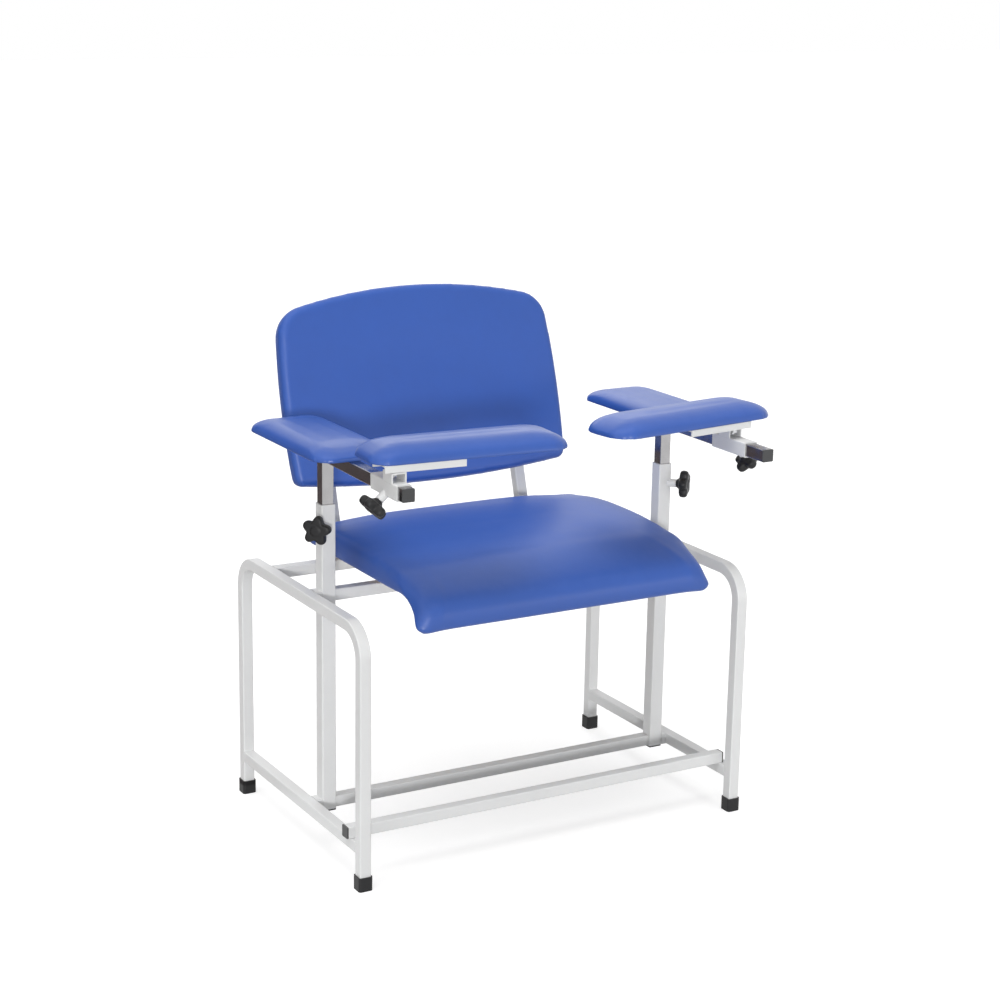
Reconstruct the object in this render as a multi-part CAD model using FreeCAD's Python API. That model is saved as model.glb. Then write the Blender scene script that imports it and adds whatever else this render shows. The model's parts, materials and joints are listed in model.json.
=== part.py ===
import FreeCAD, Part
import math
import os

# A blood-drawing chair: a white tube frame with a foot bar, a wide seat and a
# reclined back, and two chromed arms. Each arm rises and falls in its post and
# carries a padded rest beside the seat and a second pad across the front.
# Millimetres. X runs across the chair with X = 0 on its centre plane, Y runs
# from front (-Y) to back, Z is up and the floor is Z = 0.

# Side frames: a square tube bent down into a front and a rear leg.
frame_half_width = 470
frame_tube = 25
frame_wall = 1.5
frame_corner = 2.5
leg_half_spacing = 296
frame_top = 562
frame_bend = 62.5

# Black caps under the legs.
foot_height = 30
foot_wall = 3
foot_floor = 4

# Rails near the floor and the bar for the feet that lies on them.
lower_rail_base = 76
foot_bar_setback = 42
foot_bar_left_overhang = 8.5
foot_bar_right_setback = 15.5

# Posts that the arms rise in, welded to the side rails through spacer blocks.
post_size = 32
post_wall = 2.5
post_corner = 3
spacer_thickness = 12
post_y = -36.5
post_top = 747

# Square plugs in the open ends of the tubes.
plug_flange = 3
plug_depth = 12
plug_gap = 0.1

# Two tubes that lie under the seat and turn up behind the back.
rail_board_inset = 56
rail_front = -215
rail_bend = 40
rail_top = 1000

# Seat cushion, seen from the side, with a front edge that hangs down.
seat_side_gap = 55
seat_front = -340
seat_depth = 562
rear_crossbar_inset = 56.5
seat_side_height = 54.5
seat_lip_depth = 51
seat_crown = 8
seat_underside_rise = 1
seat_edge_round = 13
seat_loft_degree = 2
seat_profile_shares = (
    (0.235, 0.0, 0.0),
    (0.139, -0.116, 0.0),
    (0.064, -0.767, 0.0),
    (0.041, -0.96, 0.0),
    (0.023, -1.0, 0.0),
    (0.005, -0.82, 0.0),
    (0.0, -0.42, 0.0),
    (0.009, -0.07, 0.05),
    (0.0445, 0.26, 0.2),
    (0.158, 0.70, 0.6),
    (0.286, 0.92, 0.85),
    (0.427, 1.06, 1.0),
    (0.605, 1.11, 1.0),
    (0.792, 1.07, 0.9),
    (0.970, 0.92, 0.5),
    (0.994, 0.78, 0.3),
    (1.0, 0.50, 0.1),
    (0.997, 0.20, 0.0),
    (0.98, 0.0, 0.0),
)
# Slices across the seat: how far out, how far drawn in, how much crown.
seat_slice_shares = (
    (1.0, 1.0, 0.0),
    (0.988, 0.45, 0.0),
    (0.965, 0.12, 0.0),
    (0.92, 0.0, 0.08),
    (0.75, 0.0, 0.42),
    (0.45, 0.0, 0.80),
    (0.0, 0.0, 1.0),
)

# Plywood boards that the cushions are made on.
board_thickness = 12
seat_board_side_inset = 46
seat_board_front_inset = 136
seat_board_rear_inset = 18
seat_board_corner = 20
board_gap = 0.3

# Backrest: a leaning cushion with an arched top and a bowed lower edge.
recline_angle = 17
back_edge_setback = 98
back_edge_z = 900
back_half_width = 350
back_top = 226.9
back_bottom = 222.7
back_widest = -45
back_side_bow = 1800
back_top_bow = 1250
back_bottom_bow = 2800
back_top_corner = 72
back_bottom_corner = 18
back_rear = 44
back_crown = 4.5
back_front = 12.5
back_board_rear = 45
back_board_inset = 48
back_board_corner = 60
back_front_rise = 12
back_front_inset = 14
back_rear_rise = 36
back_rear_inset = 13

# Screws that hold the boards to the rails.
screw_radius = 3
screw_head_radius = 5.5
screw_head_height = 3
screw_bite = 8
screw_gap = 0.1
seat_screw_front_inset = 54
seat_screw_rear_inset = 124
back_screw_low = -150
back_screw_high = 80

# Arm tubes: one rises and falls in the post, the beam lies on top of it.
arm_clearance = 0.3
arm_wall = 1.5
arm_corner = 2.2
beam_front_reach = 393
beam_rear_reach = 190
height_tube_length = 280

# Sleeve that slides on the beam, with a swivel bracket as wide as itself and a collar.
# The bracket sits off the sleeve's middle, and the sleeve is used both ways round.
sleeve_length = 118
bracket_length = 39
bracket_height = 19
bracket_lead = 17
pivot_lead = 9
plate = 3
collar_radius = 11
collar_height = 12

# Bolt that the front pad swivels on, held by a nut under the bracket.
bolt_radius = 5
bolt_head_radius = 10
bolt_head_height = 4
bolt_gap = 0.1
nut_flats = 17
nut_height = 8
bolt_tail = 3

# Channel under the front pad. It turns with the bolt, and the pad's screws slide
# in its two slots when the pad is shifted along it.
channel_length = 171
channel_width = 64
channel_height = 14
channel_lead = 28
channel_end = 28
slot_gap = 0.25
pad_travel = 60
head_recess_gap = 1
head_recess_rise = 1

# Front pad.
pad_length = 427
pad_width = 141
pad_thickness = 39
pad_corner = 45
pad_rise = 32
pad_inset = 56
pad_outer_reach = 100.5
pad_setback = 42
pad_board_thickness = 9
pad_board_inset = 6
pad_screw_half_spacing = 38
pad_screw_setback = 22
pad_screw_bite = 6
pad_screw_head = 2.5

# Side pad, square to the frame on top of the beam.
side_pad_length = 372
side_pad_width = 164
side_pad_thickness = 31
side_pad_corner = 46
side_pad_side_rise = 24
side_pad_inset = 46
side_pad_setback = 39.5
side_pad_rise = 0.8
side_board_inset = 10
side_screw_front = -62
side_screw_rear = 92

# Edges of the padded pieces: rounded in steps, with a crown that shrinks by shares.
pad_crown = 2.5
pad_least_corner = 10
pad_tuck = 4
tuck_steps = 3
round_steps = 6
crown_plan_shares = (0.93, 0.8, 0.6)

# Clamps: a threaded boss on a corner of the tube and a star knob on its screw.
boss_radius = 9
boss_reach = 34
clamp_screw_radius = 4
clamp_screw_gap = 0.08
clamp_tip_gap = 0.3
knob_gap = 1
knob_hub_radius = 8
knob_hub_height = 14
knob_thickness = 14
knob_radius = 29
knob_round = 3
knob_socket_depth = 9
lobe_count = 5
lobe_radius = 9
hollow_radius = 10
post_knob_z = 702

# How each arm stands in the photograph.
beam_axis_z = {"left": 854, "right": 846}
beam_turn = {"left": 1.6, "right": -0.3}
sleeve_setback = {"left": 20, "right": 62}
sleeve_facing = {"left": 1, "right": -1}
pad_shift = {"left": 5, "right": 57}
pad_turn = {"left": 4.1, "right": 7.8}

# Extra length of a cutting tool past the piece it cuts.
overrun = 5

# Places that follow from the sizes above.
V = FreeCAD.Vector
up = V(0, 0, 1)
across = V(1, 0, 0)
rearward = V(0, 1, 0)
half_root = math.sqrt(0.5)
frame_x = frame_half_width - frame_tube / 2
rail_inner_x = frame_half_width - frame_tube
frame_z = frame_top - frame_tube / 2
lower_rail_z = lower_rail_base + frame_tube / 2
lower_rail_top = lower_rail_base + frame_tube
post_x = rail_inner_x - spacer_thickness - post_size / 2
post_inner_x = post_x - post_size / 2
post_rear_y = post_y + post_size / 2
crossbar_y = post_rear_y - frame_tube / 2
foot_bar_y = foot_bar_setback - leg_half_spacing
rail_z = frame_top + frame_tube / 2
seat_half_width = post_inner_x - seat_side_gap
seat_rear = seat_front + seat_depth
seat_board_half_width = seat_half_width - seat_board_side_inset
seat_board_front = seat_front + seat_board_front_inset
seat_board_rear = seat_rear - seat_board_rear_inset
rail_half_spacing = seat_board_half_width - rail_board_inset
rear_crossbar_y = seat_rear - rear_crossbar_inset
back_edge_y = seat_rear + back_edge_setback
seat_screw_front = seat_board_front + seat_screw_front_inset
seat_screw_rear = seat_board_rear - seat_screw_rear_inset
seat_board_z = frame_top + frame_tube
seat_underside = seat_board_z + seat_underside_rise
recline = math.radians(recline_angle)
slope = V(0, math.sin(recline), math.cos(recline))
facing = V(0, -math.cos(recline), math.sin(recline))
back_origin = V(0, back_edge_y, back_edge_z)
back_lean = FreeCAD.Placement(back_origin, FreeCAD.Rotation(across, math.degrees(math.pi / 2 - recline)))
arm_tube = post_size - post_wall - post_wall - arm_clearance - arm_clearance
clamp_tip = (arm_tube / 2 - arm_corner) / half_root + arm_corner + clamp_tip_gap
knob_start = boss_reach + knob_gap


def box(x0, x1, y0, y1, z0, z1):
    return Part.makeBox(x1 - x0, y1 - y0, z1 - z0, V(x0, y0, z0))


def rod(radius, start, end):
    return Part.makeCylinder(radius, (end - start).Length, start, end - start)


def placed(shape, point, direction):
    # stands a shape that was made along Z at a point, facing a direction
    copy = shape.copy()
    copy.Placement = FreeCAD.Placement(point, FreeCAD.Rotation(up, direction))
    return copy


def joined(pieces):
    return pieces[0].fuse(pieces[1:]).removeSplitter()


def arc(start, middle, end):
    return Part.Arc(start, middle, end).toShape()


def line(start, end):
    return Part.LineSegment(start, end).toShape()


def rounded_outline(length, width, corner, height):
    # a flat rectangle with round corners, centred on the Z axis
    x = length / 2
    y = width / 2
    bulge = corner * (1 - half_root)
    edges = []
    for sx, sy in ((1, 1), (-1, 1), (-1, -1), (1, -1)):
        side_point = V(sx * x, sy * (y - corner), height)
        end_point = V(sx * (x - corner), sy * y, height)
        middle = V(sx * (x - bulge), sy * (y - bulge), height)
        first, last = (side_point, end_point) if sx == sy else (end_point, side_point)
        if edges:
            edges.append(line(edges[-1].lastVertex(True).Point, first))
        edges.append(arc(first, middle, last))
    edges.append(line(edges[-1].lastVertex(True).Point, edges[0].firstVertex(True).Point))
    return Part.Wire(edges)


def prism(length, width, corner, z0, z1):
    face = Part.Face(rounded_outline(length, width, corner, z0))
    return face.extrude(up * (z1 - z0))


def tube_section(size, wall, corner):
    outer = rounded_outline(size, size, corner, 0)
    bore = size - wall - wall
    inner = rounded_outline(bore, bore, corner - wall, 0)
    return Part.Face(outer).cut(Part.Face(inner)).Faces[0]


def straight_tube(section, start, end):
    return placed(section, start, end - start).extrude(end - start)


def bent_tube(section, points, bend):
    # a tube through points in one YZ plane, with one bend at each middle point
    pieces = []
    start = points[0]
    for before, corner, after in zip(points, points[1:], points[2:]):
        heading = (corner - before).normalize()
        leaving = (after - corner).normalize()
        turn = heading.getAngle(leaving)
        reach = bend * math.tan(turn / 2)
        bend_start = corner - heading * reach
        axis = heading.cross(leaving).normalize()
        centre = bend_start + axis.cross(heading) * bend
        pieces.append(straight_tube(section, start, bend_start))
        pieces.append(placed(section, bend_start, heading).revolve(centre, axis, math.degrees(turn)))
        start = corner + leaving * reach
    pieces.append(straight_tube(section, start, points[-1]))
    return joined(pieces)


def end_plug(size, wall, corner):
    # the flange stands above Z = 0 and the stem goes down into the tube
    stem = size - wall - wall - plug_gap - plug_gap
    flange = prism(size, size, corner, 0, plug_flange)
    return flange.fuse(prism(stem, stem, corner - wall, -plug_depth, 0)).removeSplitter()


def screw(length, head_height):
    # a screw that points up, with its head under Z = 0
    head = Part.makeCylinder(screw_head_radius, head_height, V(0, 0, -head_height))
    low_edge = [edge for edge in head.Edges if edge.BoundBox.ZMax < 0]
    head = head.makeFillet(head_height / 2, low_edge)
    return head.fuse(Part.makeCylinder(screw_radius, length)).removeSplitter()


def screw_hole(length):
    return Part.makeCylinder(screw_radius + screw_gap, length + screw_gap)


def star_knob():
    # lobes round the rim joined by hollows, over a hub that faces the clamp
    lobe_centre = knob_radius - lobe_radius
    half_pitch = math.pi / lobe_count
    sideways = lobe_centre * math.sin(half_pitch)
    reach = lobe_radius + hollow_radius
    hollow_centre = lobe_centre * math.cos(half_pitch) + math.sqrt(reach ** 2 - sideways ** 2)

    def spoke(distance, angle):
        return V(distance * math.cos(angle), distance * math.sin(angle), 0)

    edges = []
    for count in range(lobe_count):
        angle = (count + count) * half_pitch
        lobe = spoke(lobe_centre, angle)
        next_lobe = spoke(lobe_centre, angle + half_pitch + half_pitch)
        hollow = spoke(hollow_centre, angle + half_pitch)
        last_hollow = spoke(hollow_centre, angle - half_pitch)
        first = lobe + (last_hollow - lobe).normalize() * lobe_radius
        second = lobe + (hollow - lobe).normalize() * lobe_radius
        third = next_lobe + (hollow - next_lobe).normalize() * lobe_radius
        edges.append(arc(first, spoke(knob_radius, angle), second))
        edges.append(arc(second, spoke(hollow_centre - hollow_radius, angle + half_pitch), third))
    star = Part.Face(Part.Wire(edges)).extrude(up * knob_thickness)
    rims = []
    for edge in star.Edges:
        level = edge.BoundBox.ZMax - edge.BoundBox.ZMin
        if level < knob_round:
            rims.append(edge)
    star = star.makeFillet(knob_round, rims)
    hub = Part.makeCylinder(knob_hub_radius, knob_hub_height + knob_round, V(0, 0, -knob_hub_height))
    socket_bottom = V(0, 0, -knob_hub_height - overrun)
    socket_top = V(0, 0, knob_socket_depth)
    socket = rod(clamp_screw_radius + clamp_screw_gap, socket_bottom, socket_top)
    return star.fuse(hub).cut(socket).removeSplitter()


def clamp_hole(point, direction):
    return rod(clamp_screw_radius + clamp_screw_gap, point, point + direction * (post_size + boss_reach))


def clamp_boss(point, direction, tube_block):
    # the boss is shaped to the corner of the tube that it is welded to
    whole = rod(boss_radius, point, point + direction * boss_reach)
    return whole.cut(tube_block).cut(clamp_hole(point, direction))


def clamp_knob(point, direction):
    return placed(star_knob(), point + direction * (knob_start + knob_hub_height), direction)


def clamp_screw(point, direction):
    end = knob_start + knob_hub_height + knob_socket_depth
    return rod(clamp_screw_radius, point + direction * clamp_tip, point + direction * end)


def soft_levels(depth, low_rise, low_inset, high_rise, high_inset, crown):
    # height, inset and share of the plan for each slice of a padded piece:
    # a rounded lower edge, a rounded upper edge and then the crown
    levels = []
    quarter = math.pi / 2
    for step in range(tuck_steps + 1):
        angle = quarter * step / tuck_steps
        levels.append((low_rise * (1 - math.cos(angle)), low_inset * (1 - math.sin(angle)), 1))
    shoulder = depth - crown - high_rise
    for step in range(round_steps + 1):
        angle = quarter * step / round_steps
        levels.append((shoulder + high_rise * math.sin(angle), high_inset * (1 - math.cos(angle)), 1))
    for share in crown_plan_shares:
        levels.append((depth - crown * share ** 2, high_inset, share))
    return levels


def soft_pad(length, width, thickness, corner, rise, edge_inset):
    # a cushion with rounded edges and a slight crown, standing on Z = 0
    wires = []
    for height, inset, share in soft_levels(thickness, pad_tuck, pad_tuck, rise, edge_inset, pad_crown):
        along = (length - inset - inset) * share
        sideways = (width - inset - inset) * share
        wires.append(rounded_outline(along, sideways, max(corner - inset, pad_least_corner) * share, height))
    return Part.makeLoft(wires, True, True)


def seat_slice(place_share, inset_share, crown_share):
    # one outline of the seat in a plane across X
    points = []
    for y_share, z_share, lift_share in seat_profile_shares:
        y = seat_front + y_share * seat_depth
        height = seat_lip_depth if z_share < 0 else seat_side_height
        lift = seat_crown * crown_share * lift_share
        points.append(V(place_share * seat_half_width, y, seat_underside + z_share * height + lift))
    inset = inset_share * seat_edge_round
    moved = []
    for index, point in enumerate(points):
        following = points[(index + 1) % len(points)]
        chord = following - points[index - 1]
        inward = V(0, chord.z, -chord.y).normalize()
        moved.append(point + inward * inset)
    edges = []
    for index in range(0, len(moved) - 1, 2):
        edges.append(arc(moved[index], moved[index + 1], moved[index + 2]))
    edges.append(line(moved[-1], moved[0]))
    return Part.Wire(edges)


def make_seat_cushion():
    near = [seat_slice(place, inset, crown) for place, inset, crown in seat_slice_shares]
    far = [seat_slice(-place, inset, crown) for place, inset, crown in reversed(seat_slice_shares[:-1])]
    cushion = Part.makeLoft(near + far, True, False, False, seat_loft_degree)
    x = seat_board_half_width + board_gap
    y0 = seat_board_front - board_gap
    y1 = seat_board_rear + board_gap
    recess = box(-x, x, y0, y1, seat_board_z - overrun, seat_board_z + board_thickness + board_gap)
    return cushion.cut(recess)


def meeting(centre_a, radius_a, centre_b, radius_b, side):
    # where two circles in the XY plane cross, on the chosen side of the line of centres
    between = centre_b - centre_a
    distance = between.Length
    along = (distance ** 2 + radius_a ** 2 - radius_b ** 2) / (distance + distance)
    off = math.sqrt(radius_a ** 2 - along ** 2)
    between.normalize()
    square = V(-between.y, between.x, 0)
    return centre_a + between * along + square * (off * side)


def back_outline(inset, plan_share, height):
    # four long bows joined by round corners; every arc is tangent to the next
    top = V(0, back_top - back_top_bow, 0)
    bottom = V(0, back_bottom_bow - back_bottom, 0)
    right = V(back_half_width - back_side_bow, back_widest, 0)
    left = V(back_side_bow - back_half_width, back_widest, 0)
    bows = (
        (right, back_side_bow),
        (top, back_top_bow),
        (left, back_side_bow),
        (bottom, back_bottom_bow),
    )
    corners = (back_top_corner, back_top_corner, back_bottom_corner, back_bottom_corner)
    centres = []
    for index, corner in enumerate(corners):
        centre_a, radius_a = bows[index]
        centre_b, radius_b = bows[(index + 1) % len(bows)]
        both = [meeting(centre_a, radius_a - corner, centre_b, radius_b - corner, side) for side in (1, -1)]
        wanted_x = 1 if index in (0, 3) else -1
        wanted_y = 1 if index in (0, 1) else -1
        found = [p for p in both if p.x * wanted_x > 0 and (p.y - back_widest) * wanted_y > 0]
        centres.append(found[0])

    def on(centre, radius, direction):
        point = centre + direction.normalize() * (radius - inset)
        return V(point.x * plan_share, point.y * plan_share, height)

    edges = []
    for index, corner in enumerate(corners):
        centre_a, radius_a = bows[index]
        centre_b, radius_b = bows[(index + 1) % len(bows)]
        centre = centres[index]
        before = (centre - centre_a).normalize()
        after = (centre - centre_b).normalize()
        middle = on(centre, corner, before + after)
        edges.append(arc(on(centre, corner, before), middle, on(centre, corner, after)))
        start = (centres[index] - centre_b).normalize()
        end = (centres[(index + 1) % len(corners)] - centre_b).normalize()
        middle = on(centre_b, radius_b, start + end)
        edges.append(arc(on(centre_b, radius_b, start), middle, on(centre_b, radius_b, end)))
    return Part.Wire(edges)


def make_back_board():
    width = (back_half_width - back_board_inset) * 2
    height = back_top + back_bottom - back_board_inset - back_board_inset
    board = prism(width, height, back_board_corner, -back_board_rear, board_thickness - back_board_rear)
    board.translate(V(0, (back_top - back_bottom) / 2, 0))
    return board


def make_back_cushion():
    levels = soft_levels(back_rear + back_front, back_rear_rise, back_rear_inset,
                         back_front_rise, back_front_inset, back_crown)
    wires = [back_outline(inset, share, height - back_rear) for height, inset, share in levels]
    cushion = Part.makeLoft(wires, True, True)
    width = (back_half_width - back_board_inset + board_gap) * 2
    height = back_top + back_bottom - back_board_inset - back_board_inset + board_gap + board_gap
    recess_start = -back_board_rear - overrun
    recess_end = board_thickness - back_board_rear + board_gap
    recess = prism(width, height, back_board_corner + board_gap, recess_start, recess_end)
    recess.translate(V(0, (back_top - back_bottom) / 2, 0))
    return cushion.cut(recess)


def leaned(shape):
    copy = shape.copy()
    copy.Placement = back_lean.multiply(copy.Placement)
    return copy


def mirrored(shape):
    return shape.mirror(V(0, 0, 0), across)


def both_sides(shape):
    return [shape, mirrored(shape)]


def export(name, shape):
    shape.exportStep("parts/" + name + ".step")
    solids = len(shape.Solids)
    print(name, "solids", solids, "valid", shape.isValid(), "volume", round(shape.Volume / 1000, 2))


def pair(name, shape):
    export("right_" + name, shape)
    export("left_" + name, mirrored(shape))


os.makedirs("parts", exist_ok=True)

# Side frames, lower rails, crossbars and the foot bar.
frame_section = tube_section(frame_tube, frame_wall, frame_corner)
front_foot = V(frame_x, -leg_half_spacing, foot_floor)
rear_foot = V(frame_x, leg_half_spacing, foot_floor)
front_bend = V(frame_x, -leg_half_spacing, frame_z)
rear_bend = V(frame_x, leg_half_spacing, frame_z)
side_frame = bent_tube(frame_section, [front_foot, front_bend, rear_bend, rear_foot], frame_bend)
pair("side_frame", side_frame)

rail_reach = leg_half_spacing - frame_tube / 2
lower_rail_front = V(frame_x, -rail_reach, lower_rail_z)
lower_rail_rear = V(frame_x, rail_reach, lower_rail_z)
lower_rail = straight_tube(frame_section, lower_rail_front, lower_rail_rear)
pair("lower_rail", lower_rail)


def crossbar(half_length, y, z):
    return straight_tube(frame_section, V(-half_length, y, z), V(half_length, y, z))


foot_bar_z = lower_rail_top + frame_tube / 2
foot_bar_left = V(plug_flange - frame_half_width - foot_bar_left_overhang, foot_bar_y, foot_bar_z)
foot_bar_right = V(frame_half_width - foot_bar_right_setback - plug_flange, foot_bar_y, foot_bar_z)
export("front_foot_bar", straight_tube(frame_section, foot_bar_left, foot_bar_right))
export("rear_lower_crossbar", crossbar(post_inner_x, crossbar_y, lower_rail_z))
export("middle_upper_crossbar", crossbar(post_inner_x, crossbar_y, frame_z))
export("rear_upper_crossbar", crossbar(rail_inner_x, rear_crossbar_y, frame_z))

# Foot caps.
cap_size = frame_tube + foot_wall + foot_wall
pocket_size = frame_tube + plug_gap + plug_gap
cap = prism(cap_size, cap_size, frame_corner + foot_wall, 0, foot_height)
pocket = prism(pocket_size, pocket_size, frame_corner + plug_gap, foot_floor, foot_height + overrun)
cap = cap.cut(pocket)
caps = []
for x in (frame_x, -frame_x):
    for y in (-leg_half_spacing, leg_half_spacing):
        caps.append(placed(cap, V(x, y, 0), up))
export("foot_caps", Part.makeCompound(caps))

# Posts with their spacers, plugs and clamp bosses.
post_direction = V(half_root, -half_root, 0)
post_clamp_point = V(post_x, post_y, post_knob_z)
post_section = tube_section(post_size, post_wall, post_corner)
post_hole = clamp_hole(post_clamp_point, post_direction)
post = straight_tube(post_section, V(post_x, post_y, lower_rail_base), V(post_x, post_y, post_top))
pair("post", post.cut(post_hole))

post_block = prism(post_size, post_size, post_corner, lower_rail_base, post_top)
post_block.translate(V(post_x, post_y, 0))
post_boss = clamp_boss(post_clamp_point, post_direction, post_block)
export("post_clamp_bosses", Part.makeCompound(both_sides(post_boss)))

spacer_x0 = post_x + post_size / 2
spacers = []
for base in (lower_rail_base, frame_top - frame_tube):
    half = post_size / 2
    block = box(spacer_x0, rail_inner_x, post_y - half, post_y + half, base, base + frame_tube)
    spacers.extend(both_sides(block))
export("post_spacers", Part.makeCompound(spacers))

post_plug = placed(end_plug(post_size, post_wall, post_corner), V(post_x, post_y, lower_rail_base), -up)
export("post_end_plugs", Part.makeCompound(both_sides(post_plug)))

# Tubes under the seat that turn up behind the back.
rail_base_line = back_origin - facing * (back_board_rear + frame_tube / 2) + across * rail_half_spacing
to_corner = (rail_z - rail_base_line.z) / slope.z
to_top = (rail_top - rail_base_line.z) / slope.z
rail_corner = rail_base_line + slope * to_corner
rail_end = rail_base_line + slope * to_top
rail_start = V(rail_half_spacing, rail_front, rail_z)
back_rail = bent_tube(frame_section, [rail_start, rail_corner, rail_end], rail_bend)

seat_screw_length = frame_tube + screw_bite
seat_screw_places = []
for y in (seat_screw_front, seat_screw_rear):
    seat_screw_places.append(V(rail_half_spacing, y, frame_top))
back_screw_places = []
for reach in (back_screw_low, back_screw_high):
    back_screw_places.append(V(rail_half_spacing, reach, -back_board_rear - frame_tube))

seat_holes = [placed(screw_hole(seat_screw_length), place, up) for place in seat_screw_places]
back_holes = [leaned(placed(screw_hole(seat_screw_length), place, up)) for place in back_screw_places]
pair("back_rail", back_rail.cut(seat_holes + back_holes))

plug = end_plug(frame_tube, frame_wall, frame_corner)
plugs = [placed(plug, foot_bar_left, -across), placed(plug, foot_bar_right, across)]
plugs.extend(both_sides(placed(plug, rail_start, -rearward)))
plugs.extend(both_sides(placed(plug, rail_end, slope)))
export("tube_end_plugs", Part.makeCompound(plugs))

# Seat and backrest on their boards.
board_depth = seat_board_rear - seat_board_front
seat_board = prism(seat_board_half_width * 2, board_depth, seat_board_corner,
                   seat_board_z, seat_board_z + board_thickness)
seat_board.translate(V(0, (seat_board_rear + seat_board_front) / 2, 0))
all_seat_holes = seat_holes + [mirrored(hole) for hole in seat_holes]
all_back_holes = back_holes + [mirrored(hole) for hole in back_holes]
export("seat_board", seat_board.cut(all_seat_holes))
export("seat_cushion", make_seat_cushion())
export("backrest_board", leaned(make_back_board()).cut(all_back_holes))
export("backrest_cushion", leaned(make_back_cushion()))

board_screws = []
for place in seat_screw_places:
    board_screws.extend(both_sides(placed(screw(seat_screw_length, screw_head_height), place, up)))
for place in back_screw_places:
    board_screws.extend(both_sides(leaned(placed(screw(seat_screw_length, screw_head_height), place, up))))
export("upholstery_screws", Part.makeCompound(board_screws))


def arm(side):
    # one arm, built on the right and mirrored for the left
    finish = mirrored if side == "left" else lambda shape: shape
    beam_z = beam_axis_z[side]
    half = arm_tube / 2
    post_axis = V(post_x, post_y, 0)
    swing = FreeCAD.Placement(post_axis, FreeCAD.Rotation(up, beam_turn[side]))

    def swung(shape):
        copy = shape.copy()
        copy.Placement = swing.multiply(copy.Placement)
        return copy

    def put(name, shape):
        export(side + "_" + name, finish(shape))

    # Height tube and beam.
    section = tube_section(arm_tube, arm_wall, arm_corner)
    tube_top = beam_z - half
    tube_base = tube_top - height_tube_length
    put("height_tube", straight_tube(section, post_axis + up * tube_base, post_axis + up * tube_top))

    beam_front = V(0, plug_flange - beam_front_reach, beam_z)
    beam_rear = V(0, beam_rear_reach - plug_flange, beam_z)
    beam = swung(straight_tube(section, beam_front, beam_rear))
    side_screw_length = arm_tube + pad_screw_bite
    side_screw_places = [V(0, y, beam_z - half) for y in (side_screw_front, side_screw_rear)]
    side_holes = [swung(placed(screw_hole(side_screw_length), place, up)) for place in side_screw_places]
    put("arm_beam", beam.cut(side_holes))
    arm_plug = end_plug(arm_tube, arm_wall, arm_corner)
    front_plug = swung(placed(arm_plug, beam_front, -rearward))
    rear_plug = swung(placed(arm_plug, beam_rear, rearward))
    put("beam_plugs", Part.makeCompound([front_plug, rear_plug]))
    side_screw = screw(side_screw_length, pad_screw_head)
    screws = [swung(placed(side_screw, place, up)) for place in side_screw_places]
    put("side_pad_screws", Part.makeCompound(screws))

    # Side pad on its board.
    side_board_z = beam_z + half
    side_centre = V(post_x, post_y + side_pad_setback, 0)
    board_length = side_pad_length - side_board_inset - side_board_inset
    board_width = side_pad_width - side_board_inset - side_board_inset
    board_corner = side_pad_corner - side_board_inset
    quarter = FreeCAD.Rotation(up, math.degrees(math.pi / 2))
    side_place = FreeCAD.Placement(side_centre, quarter)
    board = prism(board_length, board_width, board_corner, side_board_z, side_board_z + pad_board_thickness)
    board.Placement = side_place
    put("side_pad_board", board.cut(side_holes))
    pad = soft_pad(side_pad_length, side_pad_width, side_pad_thickness, side_pad_corner,
                   side_pad_side_rise, side_pad_inset)
    pad.translate(up * (side_board_z + side_pad_rise))
    recess_top = side_board_z + pad_board_thickness + board_gap
    recess_length = board_length + board_gap + board_gap
    recess_width = board_width + board_gap + board_gap
    recess = prism(recess_length, recess_width, board_corner + board_gap, side_board_z - overrun, recess_top)
    pad = pad.cut(recess)
    pad.Placement = side_place.multiply(pad.Placement)
    put("side_pad", pad)

    # Sleeve on the beam, with its clamp boss and swivel bracket.
    sleeve_front = sleeve_setback[side] - beam_front_reach
    sleeve_middle = sleeve_front + sleeve_length / 2
    sleeve_start = V(0, sleeve_front, beam_z)
    sleeve_direction = V(half_root, 0, -half_root)
    sleeve_clamp_point = V(0, sleeve_middle, beam_z)
    sleeve = straight_tube(post_section, sleeve_start, V(0, sleeve_front + sleeve_length, beam_z))
    put("sleeve", swung(sleeve.cut(clamp_hole(sleeve_clamp_point, sleeve_direction))))
    block = placed(prism(post_size, post_size, post_corner, 0, sleeve_length), sleeve_start, rearward)
    put("sleeve_boss", swung(clamp_boss(sleeve_clamp_point, sleeve_direction, block)))

    facing_way = sleeve_facing[side]
    pivot = V(0, sleeve_middle - facing_way * pivot_lead, 0)
    bracket_middle = sleeve_middle - facing_way * bracket_lead
    bracket_base = beam_z + post_size / 2
    bracket_top = bracket_base + bracket_height
    x = post_size / 2
    y0 = bracket_middle - bracket_length / 2
    y1 = bracket_middle + bracket_length / 2
    bracket = box(-x, x, y0, y1, bracket_base - post_corner, bracket_top)
    inside = x - plate
    hollow = box(-inside, inside, y0 - overrun, y1 + overrun, bracket_base - overrun, bracket_top - plate)
    bracket = bracket.cut(hollow).cut(block)
    collar_top = bracket_top + collar_height
    bracket = bracket.fuse(rod(collar_radius, pivot + up * bracket_top, pivot + up * collar_top))
    bore = rod(bolt_radius + bolt_gap, pivot + up * bracket_base, pivot + up * (collar_top + overrun))
    put("swivel_bracket", swung(bracket.cut(bore)))

    # Everything that turns with the front pad is laid out from the pivot:
    # X points outwards, away from the seat, and Y to the rear.
    pivot_world = swing.multVec(pivot)
    turned = FreeCAD.Placement(V(pivot_world.x, pivot_world.y, 0), FreeCAD.Rotation(up, pad_turn[side]))

    def about_pivot(shape):
        copy = shape.copy()
        copy.Placement = turned.multiply(copy.Placement)
        return copy

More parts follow.
